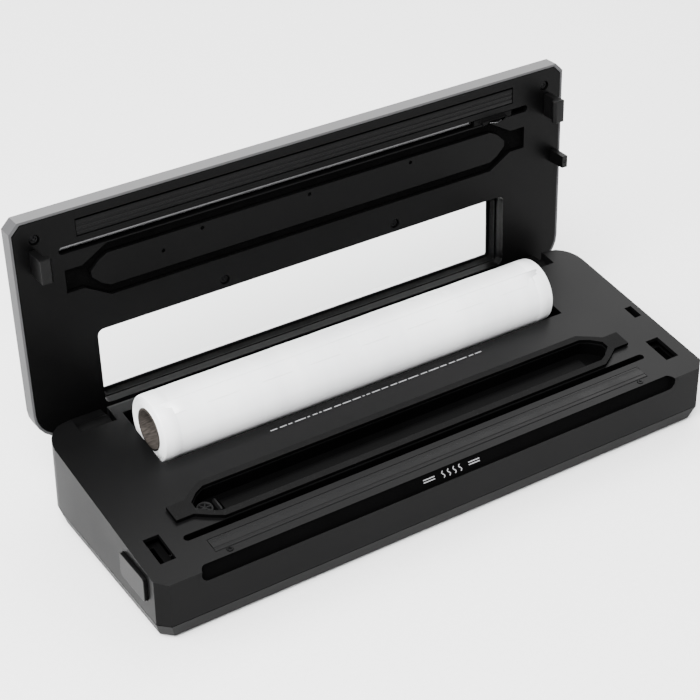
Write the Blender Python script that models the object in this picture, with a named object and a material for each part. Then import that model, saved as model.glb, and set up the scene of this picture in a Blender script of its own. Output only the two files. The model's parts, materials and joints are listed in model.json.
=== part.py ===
"""Countertop vacuum sealer: a wedge-shaped base with a film roll, and a hinged lid with a window.

All lengths are millimetres until a mesh is made. The base stands on its feet at z = 0, its front
faces -Y, and the lid is at rest fully open. Parts on the sloping deck are placed in deck
coordinates: x across, u up the slope from the front edge, n out of the deck. Parts of the lid use
the same coordinates for the closed lid, and hang from an empty on the hinge axis that opens it.
"""

import math

import bmesh
import bpy
from mathutils import Matrix, Vector

NAME = "vacuum_sealer"
MM = 0.001

# Driving dimensions of the casings
WIDTH = 386.0
DEPTH = 143.9
SLOPE = math.radians(7.07)
FOOT_HEIGHT = 2.0
COVER_HEIGHT = 9.6
FRONT_WALL = 29.0
LID_THICKNESS = 10.1
CHAMFER = 6.2
LID_CHAMFER = 5.5
REAR_RADIUS = 19.3
DRAFT = 0.9
COVER_INSET = 2.1
WALL = 2.5
DECK = 2.8
RIM = 1.6
GAP = 0.3

# Hinge
HINGE_U = 139.6
HINGE_N = -10.3
OPENING = math.radians(99.6)
HINGE_INNER = 150.3
HINGE_OUTER = 173.7
KNUCKLE = 6.0
PIN_RADIUS = 2.0

# Film roll and its trough
ROLL_U = 107.4
ROLL_N = 6.6
ROLL_RADIUS = 21.0
CORE_RADIUS = 13.0
CORE_BORE = 11.6
ROLL_LEFT = -142.0
ROLL_LENGTH = 280.0
TROUGH_HALF = 144.8
TROUGH_FRONT = 85.0
TROUGH_REAR = 134.5
TROUGH_FLOOR = -14.7

# Vacuum chamber and its ring gaskets
RING_U = 44.6
RING_HALF = 15.5
RING_STRAIGHT = 135.6
RING_END = 150.4
RING_BAND = 4.5
TAB_END = 161.5
TAB_HALF = 6.1
TIP_HALF = 2.5
GROOVE_GROW = 1.3
CHAMBER_FLOOR = -9.0
GASKET_TOP = 2.4

# Cutter, heater and latches
SLOT_HALF = 163.7
SLOT_FRONT = 23.8
SLOT_REAR = 28.4
SLOT_FLOOR = -6.0
HEATER_HALF = 153.0
HEATER_FRONT = 9.5
HEATER_REAR = 19.3
POCKET_INNER = 174.0
POCKET_OUTER = 183.8
POCKET_FRONT = 15.7
POCKET_REAR = 36.2
HOOK_INNER = 178.2
HOOK_OUTER = 182.8
BARB = 175.3
HOOK_FRONT = 18.4
HOOK_REAR = 33.4
HOOK_LENGTH = 15.1
CATCH_LOW = -9.2
CATCH_HIGH = -8.0

# Lid features, in closed deck coordinates
LID_FACE = 0.4
PANEL_TOP = 6.9
SHELL_TOP = LID_FACE + LID_THICKNESS
WINDOW_HALF = 147.1
WINDOW_FRONT = 82.0
WINDOW_REAR = 132.3
HOUSING_HALF = 150.2
HOUSING_FRONT = 79.5
HOUSING_REAR = 136.5
HOUSING_WALL = 2.0
FRAME_TOP = 22.0
PANE_FACE = 28.4
SCREWS = ((-178.4, 12.9), (178.4, 12.9), (-61.5, 76.3), (61.5, 76.3))

# Control strip on the outside of the lid
STRIP_HALF = 60.0
STRIP_FRONT = 14.0
STRIP_REAR = 34.0
KEY_RADIUS = 6.0
KEYS = (("seal", -36.0), ("vacuum", 0.0), ("stop", 36.0))

# Inside and under the base, as (x, y) behind the front edge
BOSSES = ((-160.0, 9.0), (160.0, 9.0), (-183.0, 108.0), (183.0, 108.0))
BOSS_RADIUS = 4.0
BOSS_BORE = 1.9
FEET = (("front_left", -165.0, 24.0), ("front_right", 165.0, 24.0),
        ("rear_left", -165.0, 122.0), ("rear_right", 165.0, 122.0))
FOOT_RADIUS = 7.0
PORT_X = -139.0
PORT_U = 46.5
INLET_X = -118.0
INLET_HALF = 10.0
INLET_LOW = 17.0
INLET_HIGH = 27.0
MOTOR = (98.0, 18.6)
CRANK_THROW = 3.0
HOSE_RADIUS = 2.8

# Derived places
PARTING = FOOT_HEIGHT + COVER_HEIGHT
BASE_FLOOR = FOOT_HEIGHT + WALL
BUTTON_ROOT = 189.9
BUTTON_FACE = 195.8
BUTTON_FRONT = 13.2
BUTTON_REAR = 41.8
BUTTON_LOW = PARTING + 11.0
BUTTON_HIGH = PARTING + 27.2
FRONT_TOP = PARTING + FRONT_WALL
PLAN_DEPTH = DEPTH * math.cos(SLOPE)
PANE_TOP = PANE_FACE + HOUSING_WALL


def open_reach(u, n):
    """How far behind the front edge a point of the lid lies when the lid is open."""
    hinge = HINGE_U * math.cos(SLOPE) - HINGE_N * math.sin(SLOPE)
    lean = SLOPE - OPENING
    return hinge + (u - HINGE_U) * math.cos(lean) - (n - HINGE_N) * math.sin(lean)


REACH = open_reach(HOUSING_FRONT - HOUSING_WALL, PANE_TOP)
FRONT_Y = (DRAFT - REACH) / 2.0


def clear_scene():
    for item in list(bpy.data.objects):
        bpy.data.objects.remove(item, do_unlink=True)
    for name in (NAME, NAME + "_cutters"):
        old = bpy.data.collections.get(name)
        if old:
            bpy.data.collections.remove(old)
        bpy.context.scene.collection.children.link(bpy.data.collections.new(name))


clear_scene()
PARTS = bpy.data.collections[NAME]
CUTTERS = bpy.data.collections[NAME + "_cutters"]


def empty(name, location=(0.0, 0.0, 0.0), tilt=0.0, parent=None):
    """An axis frame, placed in millimetres and turned about X."""
    item = bpy.data.objects.new(name, None)
    item.location = Vector(location) * MM
    item.rotation_euler = (tilt, 0.0, 0.0)
    item.empty_display_size = 0.02
    item.parent = parent
    PARTS.objects.link(item)
    return item


BODY = empty("body_frame", (0.0, FRONT_Y, 0.0))
DECK_FRAME = empty("deck_frame", (0.0, 0.0, FRONT_TOP), SLOPE, BODY)
HINGE = empty("hinge_frame", (0.0, HINGE_U, HINGE_N), -OPENING, DECK_FRAME)
LID = empty("lid_frame", (0.0, -HINGE_U, -HINGE_N), 0.0, HINGE)


def material(name, colour, roughness, metallic=0.0, alpha=1.0):
    made = bpy.data.materials.new(name)
    made.use_nodes = True
    shader = made.node_tree.nodes["Principled BSDF"]
    shader.inputs["Base Color"].default_value = (*colour, 1.0)
    shader.inputs["Roughness"].default_value = roughness
    shader.inputs["Metallic"].default_value = metallic
    shader.inputs["Alpha"].default_value = alpha
    made.diffuse_color = (*colour, alpha)
    made.roughness = roughness
    made.metallic = metallic
    return made


FINISHES = {
    "black": ((0.018, 0.018, 0.019), 0.42, 0.0, 1.0),
    "deck": ((0.022, 0.022, 0.024), 0.5, 0.0, 1.0),
    "silver": ((0.36, 0.36, 0.37), 0.38, 0.4, 1.0),
    "rubber": ((0.010, 0.010, 0.010), 0.8, 0.0, 1.0),
    "foam": ((0.008, 0.008, 0.008), 0.9, 0.0, 1.0),
    "silicone": ((0.045, 0.045, 0.047), 0.55, 0.0, 1.0),
    "steel": ((0.62, 0.62, 0.63), 0.22, 1.0, 1.0),
    "tape": ((0.030, 0.030, 0.031), 0.5, 0.0, 1.0),
    "film": ((0.83, 0.84, 0.85), 0.35, 0.0, 1.0),
    "card": ((0.30, 0.25, 0.21), 0.85, 0.0, 1.0),
    "clear": ((0.90, 0.92, 0.93), 0.05, 0.0, 0.25),
    "board": ((0.03, 0.16, 0.08), 0.5, 0.0, 1.0),
    "brass": ((0.60, 0.45, 0.20), 0.3, 1.0, 1.0),
    "grey": ((0.20, 0.20, 0.21), 0.45, 0.0, 1.0),
}


def place(name, mesh, frame, finish):
    """Link one solid: a part with its own material, or a wire cutter when it has no finish."""
    item = bpy.data.objects.new(name, mesh)
    item.parent = frame
    if finish is None:
        CUTTERS.objects.link(item)
        item.hide_render = True
        item.display_type = "WIRE"
        return item
    PARTS.objects.link(item)
    mesh.materials.append(material(name + "_finish", *FINISHES[finish]))
    mesh.shade_smooth()
    mesh.set_sharp_from_angle(angle=math.radians(35.0))
    return item


def finish_mesh(name, work, frame, finish):
    bmesh.ops.recalc_face_normals(work, faces=work.faces)
    bmesh.ops.scale(work, vec=(MM, MM, MM), verts=work.verts)
    mesh = bpy.data.meshes.new(name)
    work.to_mesh(mesh)
    work.free()
    return place(name, mesh, frame, finish)


TURNS = {
    "Z": Matrix.Identity(4),
    "X": Matrix(((0, 0, 1, 0), (1, 0, 0, 0), (0, 1, 0, 0), (0, 0, 0, 1))),
    "Y": Matrix(((1, 0, 0, 0), (0, 0, 1, 0), (0, 1, 0, 0), (0, 0, 0, 1))),
}


def prism(name, outline, low, high, frame, finish=None, axis="Z", flare=0.0, tilt=None, inset=0.0):
    """An outline drawn across an axis and extruded along it; flare widens the low end."""
    work = bmesh.new()
    corners = [work.verts.new((a, b, low)) for a, b in outline]
    face = work.faces.new(corners)
    grown = bmesh.ops.extrude_face_region(work, geom=[face])
    upper = [v for v in grown["geom"] if isinstance(v, bmesh.types.BMVert)]
    bmesh.ops.translate(work, verts=upper, vec=(0.0, 0.0, high - low))
    if flare or inset:
        widen(corners, flare)
        widen(upper, inset)
    bmesh.ops.transform(work, matrix=TURNS[axis], verts=work.verts)
    if tilt:
        bmesh.ops.transform(work, matrix=tilt, verts=work.verts)
    return finish_mesh(name, work, frame, finish)


def widen(verts, amount):
    """Move a ring of points outward by an amount on each side of its middle."""
    for k in (0, 1):
        low = min(v.co[k] for v in verts)
        high = max(v.co[k] for v in verts)
        middle = (low + high) / 2.0
        factor = 1.0 + 2.0 * amount / (high - low)
        for v in verts:
            v.co[k] = middle + (v.co[k] - middle) * factor


def box(name, x, y, z, frame, finish=None):
    """A cuboid between pairs of limits."""
    work = bmesh.new()
    bmesh.ops.create_cube(work, size=1.0)
    size = [b - a for a, b in (x, y, z)]
    middle = [(a + b) / 2.0 for a, b in (x, y, z)]
    bmesh.ops.scale(work, vec=size, verts=work.verts)
    bmesh.ops.translate(work, vec=middle, verts=work.verts)
    return finish_mesh(name, work, frame, finish)


def cylinder(name, across, low, high, radius, frame, finish=None, axis="Z", sides=24, top=None):
    """A round bar along an axis; across is its centre in the other two directions."""
    work = bmesh.new()
    far = radius if top is None else top
    bmesh.ops.create_cone(work, cap_ends=True, segments=sides, radius1=radius, radius2=far, depth=high - low)
    bmesh.ops.translate(work, vec=(across[0], across[1], (low + high) / 2.0), verts=work.verts)
    bmesh.ops.transform(work, matrix=TURNS[axis], verts=work.verts)
    return finish_mesh(name, work, frame, finish)


def cut(target, *tools, operation="DIFFERENCE"):
    for tool in tools:
        step = target.modifiers.new(tool.name, "BOOLEAN")
        step.operation = operation
        step.object = tool
    return target


def keep(target, *tools):
    return cut(target, *tools, operation="UNION")


def rounded(corners, steps=6):
    """An outline whose corners (a, b, radius) are arcs; a radius of 0 is a sharp corner."""
    points = []
    count = len(corners)
    for k, (a, b, radius) in enumerate(corners):
        here = Vector((a, b))
        if radius <= 0.0:
            points.append((a, b))
            continue
        before = (Vector(corners[k - 1][:2]) - here).normalized()
        after = (Vector(corners[(k + 1) % count][:2]) - here).normalized()
        half = before.angle(after) / 2.0
        centre = here + (before + after).normalized() * (radius / math.sin(half))
        start = here + before * (radius / math.tan(half)) - centre
        end = here + after * (radius / math.tan(half)) - centre
        turn = start.angle_signed(end)
        for step in range(steps + 1):
            spun = start.copy()
            spun.rotate(Matrix.Rotation(-turn * step / steps, 2))
            points.append(tuple(centre + spun))
    return points


def panel(x0, x1, y0, y1, radius=0.0, steps=5):
    return rounded([(x0, y0, radius), (x1, y0, radius), (x1, y1, radius), (x0, y1, radius)], steps)


def casing(depth, inset=0.0, chamfer=CHAMFER):
    """Plan of the casings: chamfered front corners, round rear corners."""
    half = WIDTH / 2.0 - inset
    front = inset
    rear = depth - inset
    cut_off = chamfer
    radius = REAR_RADIUS - inset
    corners = [
        (-half + cut_off, front, 0.0),
        (half - cut_off, front, 0.0),
        (half, front + cut_off, 0.0),
        (half, rear, radius),
        (-half, rear, radius),
        (-half, front + cut_off, 0.0),
    ]
    return rounded(corners)


def ring_edge(half, point, tip):
    """The bent side of the ring from its straight run to its point, above the middle line."""
    bend = (RING_STRAIGHT + point) / 2.0
    return [(RING_STRAIGHT, half), (bend, half * 0.72), (point, tip)]


def mirrored(side):
    """A closed outline from one quarter, repeated about the ring's middle both ways."""
    right = [(x, RING_U - v) for x, v in side] + [(x, RING_U + v) for x, v in reversed(side)]
    return right + [(-x, v) for x, v in reversed(right)]


def ring_outline(grow=0.0):
    """Outer edge of the vacuum ring: a long hexagon with a square tab at each end."""
    tab = TAB_HALF + grow
    return mirrored(ring_edge(RING_HALF + grow, RING_END + grow, tab) + [(TAB_END + grow, tab)])


def chamber_outline(grow=0.0):
    """Inner edge of the vacuum ring, around the chamber."""
    return mirrored(ring_edge(RING_HALF - RING_BAND + grow, RING_END - 3.0 + grow, TIP_HALF + grow))


def slot_outline(grow, radius):
    """The cutter's long slot in the deck, with round ends."""
    return panel(-SLOT_HALF - grow, SLOT_HALF + grow, SLOT_FRONT - grow, SLOT_REAR + grow, radius)


def make_base():
    """Base housing: a deck and walls around a hollow, with the wells that hang from the deck."""
    shell = prism("base_housing", casing(PLAN_DEPTH), PARTING + 0.4, 80.0, BODY, "deck", flare=DRAFT)
    far = WIDTH
    above = box("deck_cut", (-far, far), (-60.0, 220.0), (0.0, 60.0), DECK_FRAME)
    hollow = prism("hollow", casing(PLAN_DEPTH, WALL, CHAMFER), PARTING - 1.0, 70.0, BODY)
    roof = box("roof_cut", (-far, far), (-60.0, 220.0), (-DECK, 60.0), DECK_FRAME)
    wells = [
        box("trough_well", (-TROUGH_HALF - WALL, TROUGH_HALF + WALL),
            (TROUGH_FRONT - WALL, TROUGH_REAR + WALL), (TROUGH_FLOOR - WALL, 1.0), DECK_FRAME),
        prism("chamber_well", chamber_outline(WALL), CHAMBER_FLOOR - WALL, 1.0, DECK_FRAME),
        prism("slot_well", slot_outline(WALL, 4.0), SLOT_FLOOR - WALL, 1.0, DECK_FRAME),
        box("heater_well", (-HEATER_HALF, HEATER_HALF), (6.0, 21.0), (-6.5, 1.0), DECK_FRAME),
        box("recess_well", (-171.0, 171.0), (-4.0, 9.0), (-14.0, 1.0), DECK_FRAME),
    ]
    for side, s in (("left", -1), ("right", 1)):
        ends = sorted((s * (HINGE_INNER - 3.5), s * (HINGE_OUTER + 3.5)))
        wells.append(box("hinge_well_" + side, ends, (128.0, 160.0), (-22.0, 1.0), DECK_FRAME))
    for x, y in BOSSES:
        boss = cylinder("boss_%d_%d" % (x, y), (x, y), PARTING - 5.0, 80.0, BOSS_RADIUS, BODY, sides=20)
        wells.append(boss)
    cut(hollow, roof, *wells)
    cut(shell, above, hollow)
    for x, y in BOSSES:
        bore = cylinder("boss_bore_%d_%d" % (x, y), (x, y), PARTING - 5.0, 28.0, BOSS_BORE, BODY, sides=16)
        cut(shell, bore)
    cut(shell, rear_edge())
    cut(shell, *deck_openings())
    cut(shell, *wall_openings())
    return shell


def rear_edge():
    """Eases the deck's rear edge, so that the lid clears it as it turns."""
    start = DEPTH - 2.4
    slope = [(start, 0.0), (start + 8.0, -2.8), (start + 8.0, 5.0), (start, 5.0)]
    return prism("rear_edge", slope, -WIDTH, WIDTH, DECK_FRAME, axis="X")


def deck_openings():
    trough = rounded([
        (TROUGH_FRONT, TROUGH_FLOOR, 7.0),
        (TROUGH_REAR, TROUGH_FLOOR, 7.0),
        (TROUGH_REAR, 5.0, 0.0),
        (TROUGH_FRONT, 5.0, 0.0),
    ])
    made = [
        prism("trough", trough, -TROUGH_HALF, TROUGH_HALF, DECK_FRAME, axis="X"),
        prism("chamber", chamber_outline(-GAP), CHAMBER_FLOOR, 5.0, DECK_FRAME),
        prism("slot", slot_outline(0.0, 2.25), SLOT_FLOOR, 5.0, DECK_FRAME),
        box("tape_seat", (-HEATER_HALF - GAP, HEATER_HALF + GAP),
            (HEATER_FRONT - GAP, HEATER_REAR + GAP), (-0.8, 5.0), DECK_FRAME),
        box("heater_seat", (-150.5, 150.5), (10.7, 17.8), (-4.2, 5.0), DECK_FRAME),
        cylinder("port_bore", (PORT_X, PORT_U), -20.0, 0.0, 3.8, DECK_FRAME, sides=20),
        box("switch_hole", (184.0, 189.3), (58.4, 69.4), (-6.0, 5.0), DECK_FRAME),
        finger_recess(),
    ]
    for side, s in (("left", -1), ("right", 1)):
        ends = sorted((s * POCKET_INNER, s * POCKET_OUTER))
        made.append(box("latch_pocket_" + side, ends, (POCKET_FRONT, POCKET_REAR), (-6.0, 5.0), DECK_FRAME))
        ends = sorted((s * HINGE_INNER, s * HINGE_OUTER))
        made.append(box("hinge_notch_" + side, ends, (130.5, 170.0), (-18.5, 5.0), DECK_FRAME))
        ends = sorted((s * (HINGE_INNER - 2.8), s * (HINGE_OUTER + 2.8)))
        made.append(cylinder("hinge_bore_" + side, (HINGE_U, HINGE_N), *ends, PIN_RADIUS + GAP,
                             DECK_FRAME, axis="X", sides=20))
        head = cylinder("heater_screw_head_" + side, (s * 145.5, 7.4), -0.9, 5.0, 2.0, DECK_FRAME, sides=16)
        shank = cylinder("heater_screw_bore_" + side, (s * 145.5, 7.4), -4.0, 5.0, 1.3, DECK_FRAME, sides=12)
        made += [head, shank]
    return made


def finger_recess():
    """A long slanting pocket with round ends, cut across the front top edge."""
    top = Vector((4.1, 0.0))
    low = Vector((-7.4 * math.sin(SLOPE), -7.4 * math.cos(SLOPE)))
    middle = (top + low) / 2.0
    radius = (top - low).length / 2.0
    lean = math.atan2(top.y - low.y, top.x - low.x)
    turn = Matrix.Translation((0.0, middle.x, middle.y)) @ Matrix.Rotation(lean, 4, "X")
    half = 167.5
    shape = panel(-half, half, -radius, radius, radius - 0.05, 8)
    return prism("finger_recess", shape, -1.2, 14.0, DECK_FRAME, tilt=turn)


def wall_openings():
    made = []
    for side, s in (("left", -1), ("right", 1)):
        ends = sorted((s * 185.0, s * 200.0))
        shape = panel(BUTTON_FRONT - 0.5, BUTTON_REAR + 0.5, BUTTON_LOW - 0.5, BUTTON_HIGH + 0.5, 3.0)
        made.append(prism("button_hole_" + side, shape, *ends, BODY, axis="X"))
    across = (INLET_X - INLET_HALF - GAP, INLET_X + INLET_HALF + GAP)
    made.append(box("inlet_hole", across, (130.0, 160.0), (INLET_LOW - GAP, INLET_HIGH + GAP), BODY))
    return made


def make_cover():
    cover = prism("bottom_cover", casing(PLAN_DEPTH), FOOT_HEIGHT, PARTING, BODY, "black",
                  flare=-COVER_INSET, inset=DRAFT)
    tray = prism("cover_hollow", casing(PLAN_DEPTH, WALL), BASE_FLOOR, PARTING + 5.0, BODY,
                 flare=-COVER_INSET, inset=0.0)
    cut(cover, tray)
    for x, y in BOSSES:
        cut(cover, cylinder("cover_bore_%d_%d" % (x, y), (x, y), -1.0, 8.0, BOSS_BORE, BODY, sides=16))
    for k, (x, y) in enumerate(BOSSES, 1):
        screw("bottom_screw_%d" % k, (x, y), 0.6, FOOT_HEIGHT - GAP, 24.0, 3.2, 1.5, BODY)
    for name, x, y in FEET:
        cylinder("foot_" + name, (x, y), 0.0, FOOT_HEIGHT - GAP, FOOT_RADIUS, BODY, "rubber",
                 top=FOOT_RADIUS - 0.6)


def screw(name, at, head_low, head_high, tip, head, shank, frame, turned=False):
    """A pan-head screw along n: its head, its shank to the tip, and a cross recess in the head."""
    body = cylinder(name, at, head_low, head_high, head, frame, "steel", sides=20)
    ends = (head_high - 0.2, tip) if not turned else (tip, head_low + 0.2)
    keep(body, cylinder(name + "_shank", at, *ends, shank, frame, sides=12))
    face = head_low if not turned else head_high
    for k, (dx, dy) in enumerate(((head * 0.6, 0.45), (0.45, head * 0.6))):
        cut(body, box(name + "_cross%d" % k, (at[0] - dx, at[0] + dx), (at[1] - dy, at[1] + dy),
                      (face - 0.45, face + 0.45), frame))
    return body


def make_chamber_parts():
    lower = prism("lower_gasket", ring_outline(), GAP, GASKET_TOP, DECK_FRAME, "foam")
    cut(lower, prism("lower_gasket_hole", chamber_outline(), -5.0, 10.0, DECK_FRAME))
    port = cylinder("suction_port", (PORT_X, PORT_U), -19.0, -7.4, 3.5, DECK_FRAME, "grey", sides=20)
    cut(port, cylinder("port_hole", (PORT_X, PORT_U), -25.0, 0.0, 2.2, DECK_FRAME, sides=16))
    box("heater_bar", (-150.0, 150.0), (11.0, 17.5), (-3.9, -0.8), DECK_FRAME, "grey")
    across = (-HEATER_HALF, HEATER_HALF)
    box("heater_tape", across, (HEATER_FRONT, HEATER_REAR), (-0.5, 0.3), DECK_FRAME, "tape")
    for side, s in (("left", -1), ("right", 1)):
        screw("heater_screw_" + side, (s * 145.5, 7.4), -0.6, 0.3, -3.7, 1.7, 1.0, DECK_FRAME, turned=True)


def make_latches():
    """Each side button carries a framed catch that holds the lid hook, pushed out by a spring."""
    for side, s in (("left", -1), ("right", 1)):
        shape = panel(BUTTON_FRONT, BUTTON_REAR, BUTTON_LOW, BUTTON_HIGH, 2.5)
        ends = sorted((s * BUTTON_ROOT, s * BUTTON_FACE))
        prism("release_button_" + side, shape, *ends, BODY, "black", axis="X")
        ends = sorted((s * 172.6, s * 189.5))
        frame = box("release_catch_" + side, ends, (13.5, 38.9), (CATCH_LOW, CATCH_HIGH), DECK_FRAME, "grey")
        ends = sorted((s * 177.6, s * 186.2))
        cut(frame, box("catch_window_" + side, ends, (17.0, 35.4), (-20.0, 5.0), DECK_FRAME))
        coil("release_spring_" + side, s * 166.5, s * 172.3, 26.2, -8.0)


def coil(name, start, end, u, n, radius=2.2, wire=0.35, turns=5, steps=10):
    """A compression spring along X as one open helix of round wire."""
    curve = bpy.data.curves.new(name, "CURVE")
    curve.dimensions = "3D"
    curve.bevel_depth = wire * MM
    curve.bevel_resolution = 1
    curve.use_fill_caps = True
    line = curve.splines.new("POLY")
    count = turns * steps
    line.points.add(count)
    low = start + math.copysign(wire + 0.1, end - start)
    high = end - math.copysign(wire + 0.1, end - start)
    for k in range(count + 1):
        angle = 2.0 * math.pi * k / steps
        x = low + (high - low) * k / count
        y = u + radius * math.cos(angle)
        z = n + radius * math.sin(angle)
        line.points[k].co = (x * MM, y * MM, z * MM, 1.0)
    return place_curve(name, curve, DECK_FRAME, "steel")


def place_curve(name, curve, frame, finish):
    item = bpy.data.objects.new(name, curve)
    item.parent = frame
    PARTS.objects.link(item)
    curve.materials.append(material(name + "_finish", *FINISHES[finish]))
    return item


def make_hinge():
    """The lid's arms turn on pins held in the cheeks of the base's rear notches."""
    for side, s in (("left", -1), ("right", 1)):
        ends = sorted((s * (HINGE_INNER - 2.3), s * (HINGE_OUTER + 2.3)))
        cylinder("hinge_pin_" + side, (HINGE_U, HINGE_N), *ends, PIN_RADIUS, DECK_FRAME, "steel",
                 axis="X", sides=20)
        ends = sorted((s * (HINGE_INNER + 0.7), s * (HINGE_OUTER - 0.7)))
        arm = cylinder("hinge_arm_" + side, (HINGE_U, HINGE_N), *ends, KNUCKLE, LID, "black",
                       axis="X", sides=32)
        web = box("hinge_web_" + side, ends, (HINGE_U - 5.0, HINGE_U + 3.6), (HINGE_N, LID_FACE - GAP), LID)
        keep(arm, web)
        far = (-200.0, 200.0)
        cut(arm, cylinder("arm_bore_" + side, (HINGE_U, HINGE_N), *far, PIN_RADIUS + GAP, LID,
                          axis="X", sides=20))


def make_roll():
    """Film wound on a card tube, lying in the trough."""
    core_end = ROLL_LEFT + ROLL_LENGTH
    at = (ROLL_U, ROLL_N)
    through = (ROLL_LEFT - 9.0, core_end + 9.0)
    core = cylinder("film_core", at, ROLL_LEFT, core_end, CORE_RADIUS, DECK_FRAME, "card",
                    axis="X", sides=32)
    cut(core, cylinder("core_bore", at, *through, CORE_BORE, DECK_FRAME, axis="X", sides=32))
    film = cylinder("film_roll", at, ROLL_LEFT, core_end, ROLL_RADIUS, DECK_FRAME, "film",
                    axis="X", sides=48)
    cut(film, cylinder("film_bore", at, *through, CORE_RADIUS + GAP, DECK_FRAME, axis="X", sides=32))


def make_pump():
    """Vacuum pump under the trough: motor, crank and diaphragm head, with its hose to the port."""
    motor = cylinder("pump_motor", MOTOR, 62.0, 112.0, 11.5, BODY, "steel", axis="X", sides=28)
    keep(motor, cylinder("motor_nose", MOTOR, 60.0, 63.0, 4.5, BODY, axis="X", sides=20))
    crank = cylinder("pump_crank", MOTOR, 54.0, 59.0, 7.0, BODY, "brass", axis="X", sides=24)
    pin = (MOTOR[0] + CRANK_THROW, MOTOR[1])
    keep(crank, cylinder("crank_pin", pin, 51.5, 55.0, 1.8, BODY, axis="X", sides=16))
    head = box("pump_head", (28.0, 50.5), (84.0, 112.0), (BASE_FLOOR + 0.4, 31.0), BODY, "grey")
    cut(head, cylinder("head_clearance", MOTOR, 46.0, 55.0, 8.0, BODY, axis="X", sides=24))
    make_hose()


def make_hose():
    """A soft tube from the pump head to the suction port."""
    port = Matrix.Rotation(SLOPE, 4, "X") @ Vector((PORT_X, PORT_U, -19.0))
    port.z += FRONT_TOP
    start = Vector((27.5, MOTOR[0], 20.0))
    low = Vector((port.x, port.y, port.z - 0.5))
    turn = Vector((port.x, port.y, 20.0))
    route = ((5.0, MOTOR[0], 20.0), (-60.0, 68.0, 20.0), (-125.0, 50.0, 18.5))
    knots = [start, *(Vector(point) for point in route), turn, low]
    leans = ((-30, 0, 0), (-50, -8, 0), (-65, -20, 0), (-30, -4, 0), (-4, 0, 6), (0, 0, 6))
    tangents = [Vector(lean) for lean in leans]
    curve = bpy.data.curves.new("suction_hose", "CURVE")
    curve.dimensions = "3D"
    curve.bevel_depth = HOSE_RADIUS * MM
    curve.bevel_resolution = 2
    curve.use_fill_caps = True
    points = []
    for k in range(len(knots) - 1):
        for step in range(6):
            points.append(hermite(knots[k], knots[k + 1], tangents[k], tangents[k + 1], step / 6.0))
    points.append(knots[-1])
    line = curve.splines.new("POLY")
    line.points.add(len(points) - 1)
    for spot, point in zip(line.points, points):
        spot.co = (*(point * MM), 1.0)
    return place_curve("suction_hose", curve, BODY, "rubber")


def hermite(a, b, out, into, t):
    """A point on the smooth span from a to b with given end tangents."""
    s = t * t
    c = s * t
    return a * (2 * c - 3 * s + 1) + out * (c - 2 * s + t) + b * (3 * s - 2 * c) + into * (c - s)


def make_electrics():
    supply = box("power_supply", (-104.0, -30.0), (84.0, 122.0), (4.9, 7.0), BODY, "board")
    keep(supply, box("supply_coil", (-92.0, -58.0), (88.0, 118.0), (6.5, 30.0), BODY))
    keep(supply, cylinder("supply_capacitor", (-44.0, 103.0), 6.5, 24.0, 7.0, BODY, sides=20))
    board = box("control_board", (60.0, 150.0), (26.0, 66.0), (4.9, 6.7), BODY, "board")
    keep(board, box("board_chip", (84.0, 98.0), (40.0, 50.0), (6.2, 8.6), BODY))
    keep(board, cylinder("board_capacitor", (120.0, 46.0), 6.2, 18.0, 5.0, BODY, sides=20))
    across = (INLET_X - INLET_HALF, INLET_X + INLET_HALF)
    inlet = box("power_inlet", across, (126.0, 141.5), (INLET_LOW, INLET_HIGH), BODY, "black")
    socket = panel(INLET_X - 7.5, INLET_X + 7.5, INLET_LOW + 1.8, INLET_HIGH - 1.8, 3.0)
    cut(inlet, prism("inlet_socket", socket, 133.0, 150.0, BODY, axis="Y"))
    for s in (-1, 1):
        at = (INLET_X + s * 3.6, (INLET_LOW + INLET_HIGH) / 2.0)
        keep(inlet, cylinder("inlet_pin_%d" % s, at, 132.0, 140.5, 1.0, BODY, axis="Y", sides=12))
    lid_switch = box("lid_switch", (183.4, 189.7), (56.0, 72.0), (-26.0, -16.0), DECK_FRAME, "black")
    cut(lid_switch, box("plunger_guide", (184.6, 188.6), (61.7, 66.3), (-21.0, 0.0), DECK_FRAME))
    box("switch_plunger", (184.9, 188.3), (62.0, 66.0), (-19.0, -14.1), DECK_FRAME, "grey")


def housing_outline(grow, radius):
    """The window housing's inner outline, or one that runs outside it."""
    half = HOUSING_HALF + grow
    return panel(-half, half, HOUSING_FRONT - grow, HOUSING_REAR + grow, radius)


def make_lid_casings():
    """The lid: a shallow outer shell, an inner panel, and a raised window housing that clears the roll."""
    shell = prism("lid_shell", casing(DEPTH, 0.0, LID_CHAMFER), LID_FACE, SHELL_TOP, LID, "silver")
    cut(shell, prism("shell_hollow", casing(DEPTH, RIM, LID_CHAMFER), -5.0, SHELL_TOP - 2.0, LID))
    opening = housing_outline(HOUSING_WALL + GAP, 4.0)
    cut(shell, prism("shell_window", opening, -5.0, 40.0, LID))
    seat = panel(-STRIP_HALF - GAP, STRIP_HALF + GAP, STRIP_FRONT - GAP, STRIP_REAR + GAP, 4.0)
    cut(shell, prism("strip_seat", seat, SHELL_TOP - 1.2, 40.0, LID))
    make_inner_panel()
    outer = housing_outline(HOUSING_WALL, 4.0)
    inner = housing_outline(0.0, 2.5)
    frame = prism("window_frame", outer, PANEL_TOP + GAP, FRAME_TOP, LID, "black")
    cut(frame, prism("frame_hole", inner, -5.0, 40.0, LID))
    pane = prism("window_pane", outer, FRAME_TOP + GAP, PANE_TOP, LID, "clear")
    cut(pane, prism("pane_hollow", inner, 0.0, PANE_FACE, LID))


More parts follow.
